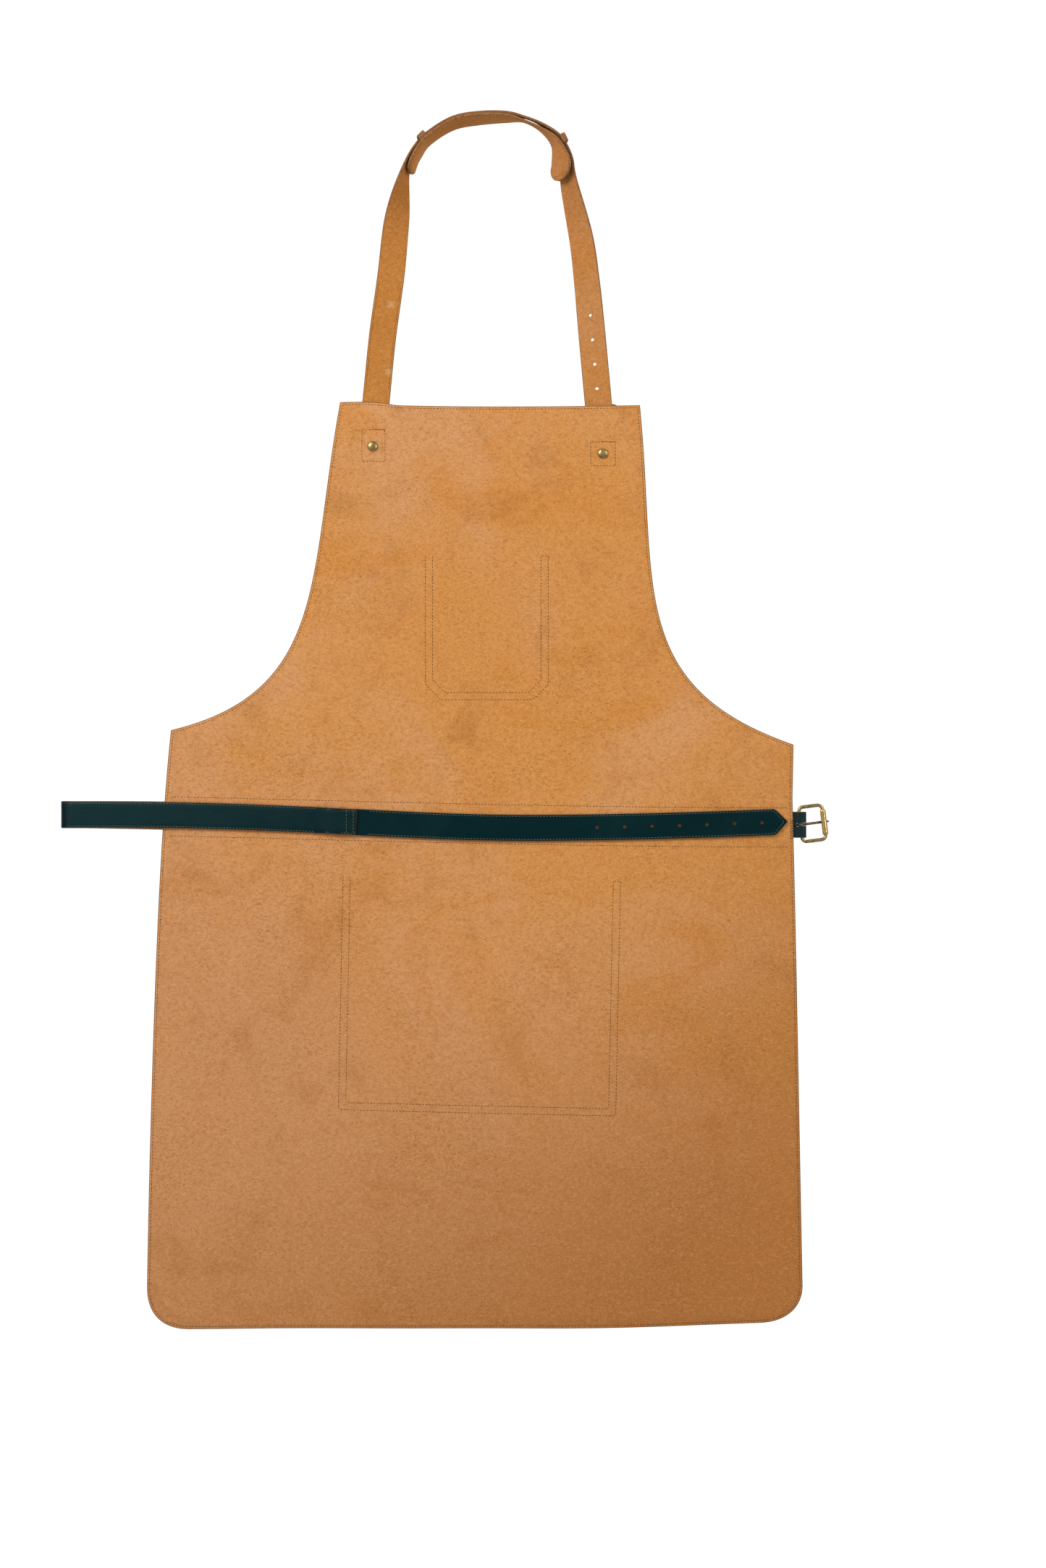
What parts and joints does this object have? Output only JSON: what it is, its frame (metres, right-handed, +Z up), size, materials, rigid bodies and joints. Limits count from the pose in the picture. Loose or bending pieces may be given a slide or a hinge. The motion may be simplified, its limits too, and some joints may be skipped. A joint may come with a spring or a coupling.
{
  "type": "welding apron",
  "caption": "Bib apron in heavy leather with patch pockets, a buckled waist belt in a stitched channel, and an adjustable neck strap with a pad.",
  "frame": {"origin": "middle of the neck pad's inner face, where it rests on the wearer's neck", "axes": "+Z up along the apron from hem to neck, +Y to the front, away from the wearer, +X across the apron, towards the waist buckle"},
  "size_m": [0.7063, 0.0402, 1.1189],
  "materials": {
    "body_leather": "sueded flesh side, matt, with a dark cut edge",
    "strap_leather": "sueded flesh side with a dark green grain side",
    "green_leather": "smooth waxed dark green grain",
    "antique_brass": "antique brass, worn bright on the high spots"
  },
  "bodies": {
    "apron": {"body_panel": "body_leather", "chest_pocket": "green_leather", "lower_pocket": "green_leather", "belt_channel": "green_leather", "belt_front_run": "green_leather", "belt_fold": "green_leather", "waist_chape": "green_leather", "neck_chape": "green_leather", "neck_keeper": "green_leather", "neck_buckle_frame": "antique_brass", "neck_buckle_prong": "antique_brass", "left_rivet_cap": "antique_brass", "left_rivet_post": "antique_brass", "right_rivet_cap": "antique_brass", "right_rivet_post": "antique_brass", "left_strap_bend": "strap_leather", "right_strap_bend": "strap_leather", "left_strap_anchor": "strap_leather", "neck_strap_tail": "strap_leather"},
    "neck_loop": {"neck_strap": "strap_leather", "neck_pad": "strap_leather", "left_pad_keeper": "strap_leather", "right_pad_keeper": "strap_leather"},
    "belt_end": {"belt_back_strap": "green_leather", "belt_tip_strap": "green_leather"},
    "waist_buckle": {"waist_buckle_frame": "antique_brass"},
    "waist_prong": {"waist_buckle_prong": "antique_brass"},
    "waist_roller": {"waist_buckle_roller": "antique_brass"},
    "neck_roller": {"neck_buckle_roller": "antique_brass"}
  },
  "joints": [
    {"name": "neck_loop_fold", "type": "hinge", "parent": "apron", "child": "neck_loop", "pos_m": [0, 0.0025, -0.253], "axis": [1, 0, 0], "range_deg": [-110, 135], "deforming": ["left_strap_bend", "right_strap_bend"]},
    {"name": "belt_end_swing", "type": "hinge", "parent": "apron", "child": "belt_end", "pos_m": [-0.388, 0, -0.6389], "axis": [0, 0, -1], "range_deg": [0, 180], "deforming": ["belt_fold"]},
    {"name": "waist_buckle_pivot", "type": "hinge", "parent": "apron", "child": "waist_buckle", "pos_m": [0.2855, 0.0029, -0.6483], "axis": [-0.1219, 0, 0.9925], "range_deg": [-120, 30]},
    {"name": "waist_prong_pivot", "type": "hinge", "parent": "waist_buckle", "child": "waist_prong", "pos_m": [0.2855, 0.0029, -0.6483], "axis": [-0.1219, 0, 0.9925], "range_deg": [0, 90]},
    {"name": "waist_roller_spin", "type": "hinge", "parent": "waist_buckle", "child": "waist_roller", "pos_m": [0.30714, 0.0029, -0.64564], "axis": [-0.1219, 0, 0.9925], "continuous": true},
    {"name": "neck_roller_spin", "type": "hinge", "parent": "apron", "child": "neck_roller", "pos_m": [0.10099, 0.00689, -0.26305], "axis": [0.9976, 0, 0.0698], "continuous": true}
  ]
}
